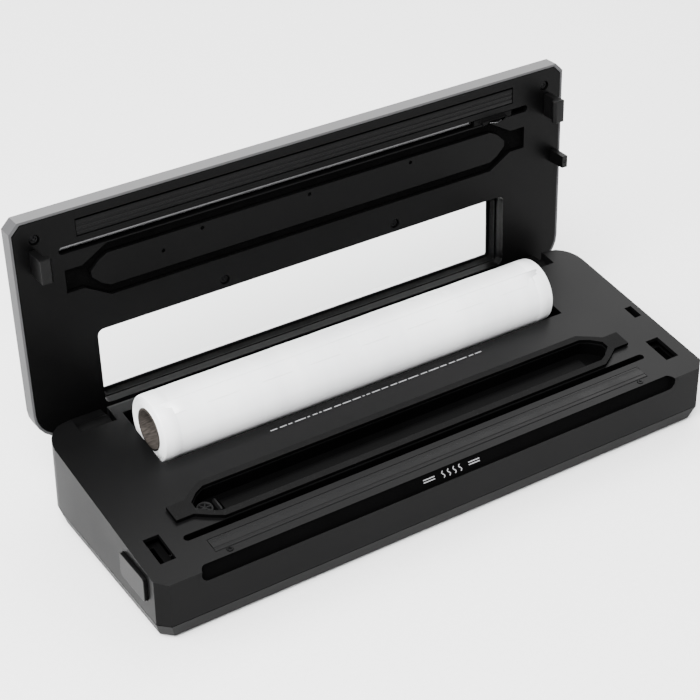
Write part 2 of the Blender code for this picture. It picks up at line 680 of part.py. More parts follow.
def make_inner_panel():
    face = prism("lid_panel", casing(DEPTH, RIM + GAP, LID_CHAMFER), LID_FACE, PANEL_TOP, LID, "black")
    window = panel(-WINDOW_HALF, WINDOW_HALF, WINDOW_FRONT, WINDOW_REAR, 4.0)
    cut(face, prism("panel_window", window, -5.0, 20.0, LID))
    groove = prism("ring_groove", ring_outline(GROOVE_GROW), -5.0, 4.2, LID)
    cut(groove, prism("ring_island", chamber_outline(-2.0 * GAP), -9.0, 9.0, LID))
    cut(face, groove)
    cut(face, box("bar_seat", (-153.2, 153.2), (7.4, 18.6), (-5.0, 3.0), LID))
    cut(face, prism("cutter_channel", panel(-165.0, 165.0, 22.4, 27.0, 2.25), -5.0, 5.4, LID))
    for k, (x, u) in enumerate(SCREWS, 1):
        cut(face, cylinder("lid_screw_seat_%d" % k, (x, u), -5.0, 3.5, 3.2, LID, sides=20))
        cut(face, cylinder("lid_screw_bore_%d" % k, (x, u), -5.0, 9.0, 1.7, LID, sides=12))
    for k, (x, u) in enumerate(((-74.0, 37.4), (0.0, 37.4), (74.0, 37.4), (-100.4, 44.1)), 1):
        cut(face, cylinder("dimple_%d" % k, (x, u), -5.0, 1.9, 1.3, LID, sides=12))


def make_lid_fittings():
    upper = prism("upper_gasket", ring_outline(GROOVE_GROW - GAP), 2.8, 3.9, LID, "foam")
    cut(upper, prism("upper_gasket_hole", chamber_outline(-GAP), -5.0, 10.0, LID))
    box("seal_bar", (-152.7, 152.7), (8.7, 18.3), (0.6, 2.7), LID, "silicone")
    box("cutter_rail", (-163.5, 148.0), (23.3, 26.1), (3.7, 5.1), LID, "steel")
    body = box("cutter_slider", (123.0, 152.5), (22.8, 26.7), (0.5, 3.4), LID, "black")
    keep(body, box("slider_grip", (128.0, 147.5), (24.2, 26.7), (-2.2, 1.0), LID))
    cut(body, box("blade_slot", (132.5, 143.0), (25.0, 26.2), (-5.0, 2.0), LID))
    edge = [(132.9, 1.7), (132.9, -2.6), (137.7, -5.0), (142.6, -2.6), (142.6, 1.7)]
    prism("cutter_blade", edge, 25.3, 25.9, LID, "steel", axis="Y")
    hook = [(HOOK_INNER, 0.1), (HOOK_OUTER, 0.1), (HOOK_OUTER, 0.1 - HOOK_LENGTH),
            (BARB + 1.6, 0.1 - HOOK_LENGTH), (BARB, -13.2), (BARB, -11.6), (HOOK_INNER, -10.0)]
    for side, s in (("left", -1), ("right", 1)):
        outline = [(s * x, n) for x, n in hook]
        prism("latch_hook_" + side, outline, HOOK_FRONT, HOOK_REAR, LID, "black", axis="Y")
    post_side = [(59.4, 0.1), (68.2, 0.1), (67.9, -13.0), (59.9, -13.0)]
    post = prism("switch_post", post_side, 184.6, 188.7, LID, "black", axis="X")
    keep(post, cylinder("post_tip", (186.6, 63.9), -13.6, -12.5, 0.9, LID, sides=12))
    for k, at in enumerate(SCREWS, 1):
        screw("lid_screw_%d" % k, at, 1.6, 3.2, 6.6, 2.6, 1.3, LID)


def make_controls():
    """A control strip on the lid's outside, with three buttons that press into it."""
    shape = panel(-STRIP_HALF, STRIP_HALF, STRIP_FRONT, STRIP_REAR, 4.0)
    strip = prism("control_strip", shape, SHELL_TOP - 0.9, SHELL_TOP + 0.5, LID, "black")
    for name, x in KEYS:
        at = (x, (STRIP_FRONT + STRIP_REAR) / 2.0)
        cut(strip, cylinder(name + "_hole", at, 5.0, 20.0, KEY_RADIUS + GAP, LID, sides=28))
        cylinder("button_" + name, at, SHELL_TOP - 0.2, SHELL_TOP + 1.5, KEY_RADIUS, LID, "grey",
                 top=KEY_RADIUS - 0.3, sides=28)


make_base()
make_cover()
make_chamber_parts()
make_latches()
make_hinge()
make_roll()
make_pump()
make_electrics()
make_lid_casings()
make_lid_fittings()
make_controls()
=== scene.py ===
"""Looks of the vacuum sealer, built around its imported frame.

The lid's hinge in the frame gives the placement of the deck and of the lid. Pieces on either are
drawn in millimetres as (x, u, n): x across, u up the slope from the front edge, and n from the face
where lid and deck meet, upward when the lid is shut. DECK or LID then places them. The film roll
takes its place and size from its CAD box.
"""

import json
import math
import random

import bmesh
import bpy
from mathutils import Matrix, Vector

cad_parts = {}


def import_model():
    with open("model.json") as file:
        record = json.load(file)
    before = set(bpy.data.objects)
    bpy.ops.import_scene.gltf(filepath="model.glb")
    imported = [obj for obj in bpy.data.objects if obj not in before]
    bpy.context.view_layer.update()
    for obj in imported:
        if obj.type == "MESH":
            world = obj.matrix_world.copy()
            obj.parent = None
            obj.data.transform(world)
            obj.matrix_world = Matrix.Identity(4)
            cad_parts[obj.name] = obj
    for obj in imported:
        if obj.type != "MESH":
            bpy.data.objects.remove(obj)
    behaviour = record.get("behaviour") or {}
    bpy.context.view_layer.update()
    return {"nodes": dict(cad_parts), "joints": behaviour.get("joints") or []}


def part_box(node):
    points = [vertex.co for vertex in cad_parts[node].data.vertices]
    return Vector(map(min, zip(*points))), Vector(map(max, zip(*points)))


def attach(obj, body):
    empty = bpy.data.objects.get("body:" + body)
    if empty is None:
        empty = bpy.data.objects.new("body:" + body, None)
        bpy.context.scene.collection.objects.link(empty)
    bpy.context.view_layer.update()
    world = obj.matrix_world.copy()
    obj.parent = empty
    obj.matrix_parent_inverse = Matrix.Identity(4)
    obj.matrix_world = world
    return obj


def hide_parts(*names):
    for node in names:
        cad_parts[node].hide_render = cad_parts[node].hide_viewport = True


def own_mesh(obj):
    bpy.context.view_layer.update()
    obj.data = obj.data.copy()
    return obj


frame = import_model()

MM = 0.001
SLOPE = math.radians(7.07)
OPENING = math.radians(99.6)
JOINTS = {joint["name"]: joint for joint in frame["joints"]}
HINGE = Vector(JOINTS["lid_hinge"]["pos_m"])
# The hinge's own place on the deck: up the slope from the front edge, and below the face.
HINGE_U = 139.6 * MM
HINGE_N = -10.3 * MM
ROLL_AXIS = Vector(JOINTS["film_spin"]["pos_m"])


def sloped(lean):
    """Placement of a face that leans back about the hinge, for points given as (x, u, n)."""
    turn = Matrix.Rotation(lean, 4, "X")
    return Matrix.Translation(HINGE) @ turn @ Matrix.Translation((0.0, -HINGE_U, -HINGE_N))


DECK = sloped(SLOPE)
LID = sloped(SLOPE - OPENING)


# ---------------------------------------------------------------- materials

def new_material(name, colour, roughness, metallic=0.0, specular=0.5):
    """A Principled material with its uniform values set on the sockets."""
    made = bpy.data.materials.new(name)
    made.use_nodes = True
    shader = made.node_tree.nodes["Principled BSDF"]
    shader.inputs["Base Color"].default_value = (*colour, 1.0)
    shader.inputs["Roughness"].default_value = roughness
    shader.inputs["Metallic"].default_value = metallic
    shader.inputs["Specular IOR Level"].default_value = specular
    return made


def graph(made):
    tree = made.node_tree
    return tree, tree.nodes["Principled BSDF"]


def coordinates(tree, scale=(1.0, 1.0, 1.0), turn=(0.0, 0.0, 0.0)):
    """Object coordinates in metres, stretched or turned for patterns with a direction."""
    source = tree.nodes.new("ShaderNodeTexCoord")
    mapping = tree.nodes.new("ShaderNodeMapping")
    mapping.inputs["Scale"].default_value = scale
    mapping.inputs["Rotation"].default_value = turn
    tree.links.new(source.outputs["Object"], mapping.inputs["Vector"])
    return mapping.outputs["Vector"]


def noise(tree, vector, scale, detail=3.0, roughness=0.55):
    node = tree.nodes.new("ShaderNodeTexNoise")
    node.inputs["Scale"].default_value = scale
    node.inputs["Detail"].default_value = detail
    node.inputs["Roughness"].default_value = roughness
    tree.links.new(vector, node.inputs["Vector"])
    return node.outputs["Fac"]


def ramp(tree, value, low, high, start=0.3, end=0.7):
    """Maps a value to a range with soft limits."""
    node = tree.nodes.new("ShaderNodeMapRange")
    node.inputs["From Min"].default_value = start
    node.inputs["From Max"].default_value = end
    node.inputs["To Min"].default_value = low
    node.inputs["To Max"].default_value = high
    tree.links.new(value, node.inputs["Value"])
    return node.outputs["Result"]


def colour_mix(tree, value, first, second):
    """Blends two colours softly over the middle of a noise's range."""
    node = tree.nodes.new("ShaderNodeValToRGB")
    node.color_ramp.elements[0].color = (*first, 1.0)
    node.color_ramp.elements[1].color = (*second, 1.0)
    node.color_ramp.elements[0].position = 0.35
    node.color_ramp.elements[1].position = 0.65
    tree.links.new(value, node.inputs["Fac"])
    return node.outputs["Color"]


def bump(tree, shader, height, distance, strength=1.0, under=None):
    """Adds relief of a depth in metres, over another bump if one is given."""
    node = tree.nodes.new("ShaderNodeBump")
    node.inputs["Distance"].default_value = distance
    node.inputs["Strength"].default_value = strength
    tree.links.new(height, node.inputs["Height"])
    if under is not None:
        tree.links.new(under, node.inputs["Normal"])
    tree.links.new(node.outputs["Normal"], shader.inputs["Normal"])
    return node.outputs["Normal"]


def upward(tree):
    """How level a face lies, from 0 for a wall to 1 for a top."""
    geometry = tree.nodes.new("ShaderNodeNewGeometry")
    apart = tree.nodes.new("ShaderNodeSeparateXYZ")
    tree.links.new(geometry.outputs["Normal"], apart.inputs["Vector"])
    return apart.outputs["Z"]


def level_share(tree, wall, top):
    """A value that is top on faces near level and wall on steeper ones."""
    return ramp(tree, upward(tree), wall, top, 0.75, 0.96)


def product(tree, first, second):
    node = tree.nodes.new("ShaderNodeMath")
    node.operation = "MULTIPLY"
    tree.links.new(first, node.inputs[0])
    tree.links.new(second, node.inputs[1])
    return node.outputs["Value"]


# The recesses of the housing lie between its side walls, within this half width in metres.
RECESS_HALF = 170.0 * MM


def recess_shade_mask(tree):
    """1 on the outer faces of the housing and 0 down in its recesses, where shade is painted."""
    source = tree.nodes.new("ShaderNodeTexCoord").outputs["Object"]
    apart = tree.nodes.new("ShaderNodeSeparateXYZ")
    tree.links.new(source, apart.inputs["Vector"])
    across = tree.nodes.new("ShaderNodeMath")
    across.operation = "ABSOLUTE"
    tree.links.new(apart.outputs["X"], across.inputs[0])
    height = tree.nodes.new("ShaderNodeVectorMath")
    height.operation = "DOT_PRODUCT"
    normal = DECK.to_3x3() @ Vector((0.0, 0.0, 1.0))
    height.inputs[1].default_value = normal
    tree.links.new(source, height.inputs[0])
    face = normal.dot(DECK.translation)
    low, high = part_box("base_housing")
    front = ramp(tree, apart.outputs["Y"], 0.0, 1.0, low.y + 0.3 * MM, low.y + 0.6 * MM)
    rear = ramp(tree, apart.outputs["Y"], 1.0, 0.0, high.y - 4.0 * MM, high.y - 3.6 * MM)
    sides = ramp(tree, across.outputs["Value"], 1.0, 0.0, RECESS_HALF, RECESS_HALF + 0.5 * MM)
    sunk = ramp(tree, height.outputs["Value"], 1.0, 0.0, face - 1.0 * MM, face - 0.4 * MM)
    within = product(tree, product(tree, front, rear), product(tree, sides, sunk))
    return ramp(tree, within, 1.0, 0.0, 0.0, 1.0)


def moulded(name, dark, light, rough, depth=0.02, specular=0.5, wall=None, shade_recesses=False):
    """Textured injection-moulded plastic: spark-eroded grain over faint flow marks.

    Its tone runs from dark to light, and its grain is depth millimetres deep. With wall, all faces
    but the level tops have their own specular level. One that paints shade in its recesses has its colour
    halved and its specular level lowered there.
    """
    made = new_material(name, grey(dark), rough, specular=specular)
    tree, shader = graph(made)
    vector = coordinates(tree)
    fine = noise(tree, vector, 2600.0, 2.0)
    cloudy = noise(tree, vector, 14.0, 4.0)
    shade = colour_mix(tree, cloudy, grey(dark), grey(light))
    tree.links.new(ramp(tree, cloudy, rough - 0.04, rough + 0.04), shader.inputs["Roughness"])
    if wall is not None:
        level = level_share(tree, wall, specular)
        # Painted shade: down in the recesses the colour is halved and the specular level lowered.
        if shade_recesses:
            unshaded = recess_shade_mask(tree)
            level = product(tree, level, ramp(tree, unshaded, 0.2, 1.0, 0.0, 1.0))
            painted_shade = tree.nodes.new("ShaderNodeVectorMath")
            painted_shade.operation = "SCALE"
            tree.links.new(shade, painted_shade.inputs[0])
            tree.links.new(ramp(tree, unshaded, 0.5, 1.0, 0.0, 1.0), painted_shade.inputs["Scale"])
            shade = painted_shade.outputs["Vector"]
        tree.links.new(level, shader.inputs["Specular IOR Level"])
    tree.links.new(shade, shader.inputs["Base Color"])
    bump(tree, shader, fine, depth * MM, 0.6)
    return made


def grey(tone):
    """A neutral colour with the slight blue of black plastic."""
    return (tone, tone, tone * 1.03)


def brushed(name, colour, roughness, stretch=(30.0, 2400.0, 2400.0)):
    """Bright metal with fine lines along X."""
    made = new_material(name, colour, roughness, metallic=1.0)
    tree, shader = graph(made)
    lines = noise(tree, coordinates(tree, stretch), 1.0, 3.0)
    spots = noise(tree, coordinates(tree), 260.0, 2.0)
    tree.links.new(ramp(tree, lines, roughness * 0.7, roughness * 1.5), shader.inputs["Roughness"])
    shade = colour_mix(tree, spots, tuple(c * 0.86 for c in colour), colour)
    tree.links.new(shade, shader.inputs["Base Color"])
    bump(tree, shader, lines, 0.00001, 0.5)
    return made


def foam(name, dark, light, specular, wall):
    """Closed-cell foam rubber: small pores and a soft, uneven face, duller on its cut sides."""
    made = new_material(name, dark, 0.8, specular=specular)
    tree, shader = graph(made)
    tree.links.new(level_share(tree, wall, specular), shader.inputs["Specular IOR Level"])
    vector = coordinates(tree)
    cells = tree.nodes.new("ShaderNodeTexVoronoi")
    cells.inputs["Scale"].default_value = 1500.0
    tree.links.new(vector, cells.inputs["Vector"])
    soft = noise(tree, vector, 120.0, 3.0)
    tree.links.new(colour_mix(tree, soft, dark, light), shader.inputs["Base Color"])
    under = bump(tree, shader, soft, 0.0002, 0.5)
    bump(tree, shader, cells.outputs["Distance"], 0.00012, 0.7, under)
    return made


def woven(name, dark, light, pitch=0.6 * MM):
    """Non-stick glass-cloth tape: a plain weave of a given pitch under a dull, stained face."""
    made = new_material(name, dark, 0.42, specular=0.12)
    tree, shader = graph(made)
    vector = coordinates(tree)
    waves = []
    for axis in ("X", "Y"):
        wave = tree.nodes.new("ShaderNodeTexWave")
        wave.bands_direction = axis
        wave.inputs["Scale"].default_value = math.pi / 10.0 / pitch
        wave.inputs["Distortion"].default_value = 0.4
        tree.links.new(vector, wave.inputs["Vector"])
        waves.append(wave.outputs["Fac"])
    weave = tree.nodes.new("ShaderNodeMath")
    weave.operation = "MULTIPLY"
    tree.links.new(waves[0], weave.inputs[0])
    tree.links.new(waves[1], weave.inputs[1])
    stain = noise(tree, vector, 60.0, 4.0)
    tree.links.new(colour_mix(tree, stain, dark, light), shader.inputs["Base Color"])
    tree.links.new(ramp(tree, stain, 0.34, 0.52), shader.inputs["Roughness"])
    bump(tree, shader, weave.outputs["Value"], 0.00006, 0.6)
    return made


def wound_film(name):
    """Translucent film wound on a roll: milky layers, faint wind bands and an embossed mesh."""
    made = new_material(name, (0.80, 0.81, 0.82), 0.32, specular=0.5)
    tree, shader = graph(made)
    vector = coordinates(tree)
    bands = noise(tree, coordinates(tree, (26.0, 3.0, 3.0)), 1.0, 4.0)
    cloudy = noise(tree, vector, 18.0, 3.0)
    colour = colour_mix(tree, bands, (0.72, 0.73, 0.745), (0.84, 0.85, 0.855))
    tree.links.new(colour, shader.inputs["Base Color"])
    tree.links.new(ramp(tree, cloudy, 0.24, 0.42), shader.inputs["Roughness"])
    shader.inputs["Coat Weight"].default_value = 0.25
    shader.inputs["Coat Roughness"].default_value = 0.18
    cells = tree.nodes.new("ShaderNodeTexVoronoi")
    cells.inputs["Scale"].default_value = 520.0
    tree.links.new(vector, cells.inputs["Vector"])
    under = bump(tree, shader, bands, 0.0005, 0.35)
    bump(tree, shader, cells.outputs["Distance"], 0.00004, 0.35, under)
    return made


def paper_tube(name):
    """Grey-brown card with fibres along its spiral winding."""
    made = new_material(name, (0.03, 0.025, 0.021), 0.9, specular=0.2)
    tree, shader = graph(made)
    fibres = noise(tree, coordinates(tree, (220.0, 1400.0, 1400.0), (0.0, 0.0, 0.5)), 1.0, 4.0)
    shade = colour_mix(tree, fibres, (0.014, 0.0115, 0.010), (0.042, 0.036, 0.031))
    tree.links.new(shade, shader.inputs["Base Color"])
    bump(tree, shader, fibres, 0.0001, 0.7)
    return made


def clear_plastic(name):
    """Clear acrylic, seen through, with soft smears that dull it a little."""
    made = new_material(name, (0.97, 0.985, 0.98), 0.02, specular=0.5)
    tree, shader = graph(made)
    shader.inputs["Transmission Weight"].default_value = 1.0
    shader.inputs["IOR"].default_value = 1.12
    smears = noise(tree, coordinates(tree), 22.0, 1.0)
    tree.links.new(ramp(tree, smears, 0.004, 0.02, 0.45, 0.8), shader.inputs["Roughness"])
    return made


def board_green(name):
    """Circuit board with a pale lattice of tracks under its lacquer."""
    made = new_material(name, (0.02, 0.12, 0.055), 0.4)
    tree, shader = graph(made)
    vector = coordinates(tree)
    tracks = tree.nodes.new("ShaderNodeTexBrick")
    tracks.inputs["Scale"].default_value = 160.0
    tracks.inputs["Color1"].default_value = (0.02, 0.12, 0.055, 1.0)
    tracks.inputs["Color2"].default_value = (0.018, 0.10, 0.05, 1.0)
    tracks.inputs["Mortar"].default_value = (0.05, 0.21, 0.10, 1.0)
    tree.links.new(vector, tracks.inputs["Vector"])
    tree.links.new(tracks.outputs["Color"], shader.inputs["Base Color"])
    bump(tree, shader, tracks.outputs["Fac"], 0.00004, 0.5)
    return made


def pale_floor(name):
    """Matt studio paper with a faint tooth."""
    made = new_material(name, (0.86, 0.86, 0.86), 0.6, specular=0.2)
    tree, shader = graph(made)
    speckle = noise(tree, coordinates(tree), 300.0, 2.0)
    shade = colour_mix(tree, speckle, (0.85, 0.85, 0.85), (0.87, 0.87, 0.87))
    tree.links.new(shade, shader.inputs["Base Color"])
    return made


LOOKS = {
    # The deck gets painted shade in its recesses.
    "deck": moulded("deck_black", 0.0016, 0.0024, 0.38, specular=0.085, wall=0.045, shade_recesses=True),
    "cover": moulded("cover_black", 0.0016, 0.0024, 0.47, 0.03, specular=0.08, wall=0.045),
    "panel": moulded("panel_black", 0.0008, 0.0014, 0.38, specular=0.05),
    "frame": moulded("frame_black", 0.0008, 0.0014, 0.60, specular=0.05),
    "button": moulded("button_black", 0.0016, 0.0024, 0.31, specular=0.08, wall=0.055),
    "hook": moulded("hook_black", 0.0012, 0.0020, 0.38, specular=0.10),
    "silver": moulded("shell_silver", 0.0515, 0.0555, 0.38, 0.01, wall=0.04),
    "gloss": moulded("gloss_black", 0.0015, 0.0022, 0.11, 0.004, specular=0.15),
    "key": moulded("key_grey", 0.022, 0.030, 0.40, specular=0.2),
    "inner": moulded("inner_grey", 0.005, 0.008, 0.50, specular=0.1),
    "shade": moulded("shade_black", 0.0010, 0.0016, 0.55, specular=0.04),
    "rubber": moulded("foot_rubber", 0.003, 0.005, 0.82, 0.08),
    "silicone": moulded("silicone_grey", 0.0012, 0.0020, 0.38, 0.03, specular=0.08),
    "print": moulded("print_white", 0.16, 0.20, 0.55, 0.004),
    "foam": foam("gasket_foam", grey(0.0006), grey(0.0012), 0.12, 0.01),
    "lid_foam": foam("lid_gasket_foam", grey(0.0004), grey(0.0008), 0.02, 0.02),
    "tape": woven("heater_tape", grey(0.0024), grey(0.0038)),
    "steel": brushed("bright_steel", grey(0.50), 0.22),
    "rail": brushed("rail_steel", grey(0.085), 0.26),
    "dark_steel": brushed("dark_steel", grey(0.006), 0.24, (600.0, 600.0, 600.0)),
    "screw": brushed("screw_steel", grey(0.16), 0.30, (600.0, 600.0, 600.0)),
    "brass": brushed("turned_brass", (0.40, 0.29, 0.13), 0.28),
    "film": wound_film("wound_film"),
    "card": paper_tube("paper_tube"),
    "clear": clear_plastic("clear_acrylic"),
    "board": board_green("circuit_board"),
}

NODE_LOOKS = {
    "deck": ["base_housing"],
    "cover": ["bottom_cover"],
    "panel": ["lid_panel"],
    "hook": ["latch_hook_left", "latch_hook_right", "switch_post"],
    "frame": ["window_frame", "hinge_arm_left", "hinge_arm_right", "cutter_slider"],
    "button": ["release_button_left", "release_button_right"],
    "silver": ["lid_shell"],
    "gloss": ["control_strip"],
    "key": ["button_seal", "button_vacuum", "button_stop"],
    "inner": ["heater_bar", "suction_port", "pump_head"],
    "shade": ["release_catch_left", "release_catch_right", "lid_switch", "switch_plunger", "power_inlet"],
    "rubber": ["foot_front_left", "foot_front_right", "foot_rear_left", "foot_rear_right", "suction_hose"],
    "silicone": ["seal_bar"],
    "foam": ["lower_gasket"],
    "lid_foam": ["upper_gasket"],
    "tape": ["heater_tape"],
    "steel": ["hinge_pin_left", "hinge_pin_right", "pump_motor"],
    "rail": ["cutter_rail", "cutter_blade"],
    "screw": ["bottom_screw_1", "bottom_screw_2", "bottom_screw_3", "bottom_screw_4"],
    "dark_steel": ["lid_screw_1", "lid_screw_2", "lid_screw_3", "lid_screw_4", "release_spring_left",
                   "release_spring_right", "heater_screw_left", "heater_screw_right"],
    "brass": ["pump_crank"],
    "card": ["film_core"],
    "film": ["film_roll"],
    "clear": ["window_pane"],
    "board": ["power_supply", "control_board"],
}

# Edge radii of the CAD pieces, in millimetres; the rest get the small one.
SMALL_EDGE = 0.3
EDGES = {
    "base_housing": 0.5,
    "bottom_cover": 0.6,
    "lid_shell": 0.7,
    "lid_panel": 0.4,
    "window_frame": 0.5,
    "window_pane": 0.7,
    "release_button_left": 0.5,
    "release_button_right": 0.5,
    "lower_gasket": 0.7,
    "latch_hook_left": 0.4,
    "latch_hook_right": 0.4,
    "cutter_slider": 0.4,
}
UNBEVELLED = ("suction_hose", "release_spring_left", "release_spring_right", "film_roll", "film_core")


def dress_cad_nodes():
    for look, names in NODE_LOOKS.items():
        for name in names:
            node = frame["nodes"][name]
            node.data.materials.clear()
            node.data.materials.append(LOOKS[look])
            soften(node, name)


def soften(node, name):
    """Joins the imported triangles, flattens them to faces and rounds the sharp edges."""
    weld = node.modifiers.new("weld", "WELD")
    weld.merge_threshold = 0.01 * MM
    if name in UNBEVELLED:
        node.data.shade_smooth()
        node.data.set_sharp_from_angle(angle=math.radians(30.0))
        return
    node.data.shade_smooth()
    flat = node.modifiers.new("flat", "DECIMATE")
    flat.decimate_type = "DISSOLVE"
    flat.angle_limit = math.radians(0.6)
    edge = node.modifiers.new("edge", "BEVEL")
    edge.width = EDGES.get(name, SMALL_EDGE) * MM
    edge.segments = 2
    edge.limit_method = "ANGLE"
    edge.angle_limit = math.radians(28.0)
    edge.use_clamp_overlap = True
    level = node.modifiers.new("level", "WEIGHTED_NORMAL")
    level.mode = "FACE_AREA"
    level.weight = 100
    level.thresh = 0.01


# ---------------------------------------------------------------- pieces

def add_piece(name, work, look, body, matrix=None):
    """Finish a bmesh as a piece that rides on a body."""
    bmesh.ops.recalc_face_normals(work, faces=work.faces)
    mesh = bpy.data.meshes.new(name)
    work.to_mesh(mesh)
    work.free()
    if matrix is not None:
        mesh.transform(matrix)
    mesh.materials.append(LOOKS[look])
    mesh.shade_smooth()
    mesh.set_sharp_from_angle(angle=math.radians(32.0))
    piece = bpy.data.objects.new(name, mesh)
    bpy.context.scene.collection.objects.link(piece)
    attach(piece, body)
    return piece


def extruded(name, profile, x0, x1, look, body, matrix):
    """A closed (u, n) profile run along X, in millimetres."""
    work = bmesh.new()
    ring = [work.verts.new((x0 * MM, u * MM, n * MM)) for u, n in profile]
    face = work.faces.new(ring)
    grown = bmesh.ops.extrude_face_region(work, geom=[face])
    upper = [v for v in grown["geom"] if isinstance(v, bmesh.types.BMVert)]
    bmesh.ops.translate(work, verts=upper, vec=((x1 - x0) * MM, 0, 0))
    return add_piece(name, work, look, body, matrix)


def film_roll():
    """The wound film: a tight roll whose layers end unevenly, with soft outer edges."""
    low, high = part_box("film_roll")
    radius = (high.z - low.z) / 2.0
    bore = 0.0133
    sides = 160
    layers = 26
    chooser = random.Random(7)
    rims = [chooser.uniform(0.0002, 0.0006) for _ in range(layers)]
    outer = radius - 0.0009
    turns = [bore + (outer - bore) * k / (layers - 1) for k in range(layers)]
    # From each end: how far in, and the radius there. A soft edge, then two steps in the winding.
    shoulder = [(0.0007, radius - 0.00045), (0.0014, radius - 0.00020), (0.0040, radius - 0.00012),
                (0.0042, radius - 0.00003), (0.0105, radius - 0.00006), (0.0107, radius - 0.00014)]
    runs = 24
    middle = []
    for k in range(1, runs):
        x = low.x + (high.x - low.x) * k / runs
        middle.append((x, radius - 0.00012 - 0.00008 * math.sin(k * 2.1)))
    profile = [(low.x + rim, r) for rim, r in zip(rims, turns)]
    profile += [(low.x + x, r) for x, r in shoulder]
    profile += middle
    profile += [(high.x - x, r) for x, r in reversed(shoulder)]
    profile += [(high.x - rim, r) for rim, r in zip(reversed(rims), reversed(turns))]
    work = bmesh.new()
    loop = []
    for x, r in profile:
        loop.append([work.verts.new((x, *around_roll(r, side / sides))) for side in range(sides)])
    for k, here in enumerate(loop):
        there = loop[(k + 1) % len(loop)]
        for side in range(sides):
            following = (side + 1) % sides
            work.faces.new((here[side], here[following], there[following], there[side]))
    roll = add_piece("film_wound", work, "film", "film")
    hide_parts("film_roll")
    loose_end(low, high, radius)


def around_roll(radius, turn):
    """The (y, z) of a point on a circle about the roll's axis, as a share of a turn from the rear."""
    angle = 2.0 * math.pi * turn
    return ROLL_AXIS.y + radius * math.cos(angle), ROLL_AXIS.z + radius * math.sin(angle)


def loose_end(low, high, radius):
    """The free edge of the film, a thin sheet lying on the last turn.

    It starts at a share of a turn from the rear, stops short of the roll's ends, and thins away.
    """
    start = 0.30
    span = 0.07
    margin = 0.0045
    steps = 18
    cells = 20
    work = bmesh.new()
    sheet = []
    for side in range(steps + 1):
        share = side / steps
        row = []
        for k in range(cells + 1):
            x = low.x + margin + (high.x - low.x - 2.0 * margin) * k / cells
            r = radius - 0.00001 - 0.00010 * share + 0.00001 * math.sin(k * 1.3 + side)
            row.append(work.verts.new((x, *around_roll(min(r, radius), start + span * share))))
        sheet.append(row)
    for near, far in zip(sheet, sheet[1:]):
        for k in range(cells):
            work.faces.new((near[k], near[k + 1], far[k + 1], far[k]))
    piece = add_piece("film_loose_end", work, "film", "film")
    thick = piece.modifiers.new("thickness", "SOLIDIFY")
    thick.thickness = 0.14 * MM
    thick.offset = -1.0


def heater_strip():
    """Heater tape with the raised band of the wire down its middle and folded sides."""
    profile = [
        (9.5, -0.5), (19.3, -0.5), (19.3, 0.0), (19.1, 0.12), (18.2, 0.12), (17.9, 0.0), (16.6, 0.0),
        (16.2, 0.28), (12.4, 0.28), (12.0, 0.0), (10.9, 0.0), (10.6, 0.12), (9.7, 0.12), (9.5, 0.0),
    ]
    strip = extruded("heater_strip", profile, -153.0, 153.0, "tape", "base", DECK)
    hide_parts("heater_tape")


def ribbed_seal():
    """Silicone bar with two pressing ribs."""
    profile = [(8.7, 2.7), (18.3, 2.7), (18.3, 0.9), (17.8, 0.7), (15.8, 0.7), (15.4, 1.05), (14.6, 1.05),
               (14.2, 0.62), (12.8, 0.62), (12.4, 1.05), (11.6, 1.05), (11.2, 0.7), (9.2, 0.7), (8.7, 0.9)]
    bar = extruded("seal_bar_ribbed", profile, -152.7, 152.7, "silicone", "lid", LID)
    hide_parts("seal_bar")


def strokes(name, lines, width, height, look, body, matrix):
    """Printed marks: flat ribbons, each along (x, u) points in millimetres, a hair above its n."""
    work = bmesh.new()
    for n, points in lines:
        flat = [Vector(point) for point in points]
        lower = []
        for k, point in enumerate(flat):
            before = flat[max(k - 1, 0)]
            after = flat[min(k + 1, len(flat) - 1)]
            along = (after - before).normalized()
            side = Vector((-along.y, along.x)) * width / 2.0
            lower.append((point + side, point - side))
        rows = []
        for left, right in lower:
            ring = [(left, n), (right, n), (right, n + height), (left, n + height)]
            rows.append([work.verts.new((p.x * MM, p.y * MM, level * MM)) for p, level in ring])
        for here, there in zip(rows, rows[1:]):
            for k in range(4):
                following = (k + 1) % 4
                work.faces.new((here[k], here[following], there[following], there[k]))
        work.faces.new(rows[0])
        work.faces.new(list(reversed(rows[-1])))
    return add_piece(name, work, look, body, matrix)


def deck_marks():
    """A row of plain dashes on the deck, where such a machine has a printed line."""
    chooser = random.Random(11)
    row = 78.6
    end = 76.0
    lines = []
    x = -77.0
    while x < end - 1.0:
        length = chooser.choice((1.6, 2.6, 3.4, 4.6, 5.8, 7.4))
        lines.append((0.0, [(x, row), (min(x + length, end), row)]))
        x += length + chooser.choice((1.3, 1.9))
    strokes("deck_dashes", lines, 0.75, 0.03, "print", "base", DECK)


def heat_symbol():
    """Four wavy strokes between pairs of bars, on the slanting floor of the finger recess."""
    depth = 7.4
    above_floor = -1.2
    top = Vector((4.1, 0.0))
    low = Vector((-depth * math.sin(SLOPE), -depth * math.cos(SLOPE)))
    lean = math.atan2(top.y - low.y, top.x - low.x)
    middle = (top + low) / 2.0 * MM
    floor = DECK @ Matrix.Translation((0.0, middle.x, middle.y)) @ Matrix.Rotation(lean, 4, "X")
    lines = []
    for x in (-6.0, -2.0, 2.0, 6.0):
        wave = []
        for k in range(17):
            share = k / 16.0
            wave.append((x + 0.8 * math.sin(share * 2.0 * math.pi), -2.1 + 4.2 * share))
        lines.append((above_floor, wave))
    for x in (-20.0, 12.0):
        lines.append((above_floor, [(x, -0.6), (x + 8.0, -0.6)]))
        lines.append((above_floor, [(x, 0.9), (x + 8.0, 0.9)]))
    strokes("heat_symbol", lines, 0.62, 0.03, "print", "base", floor)


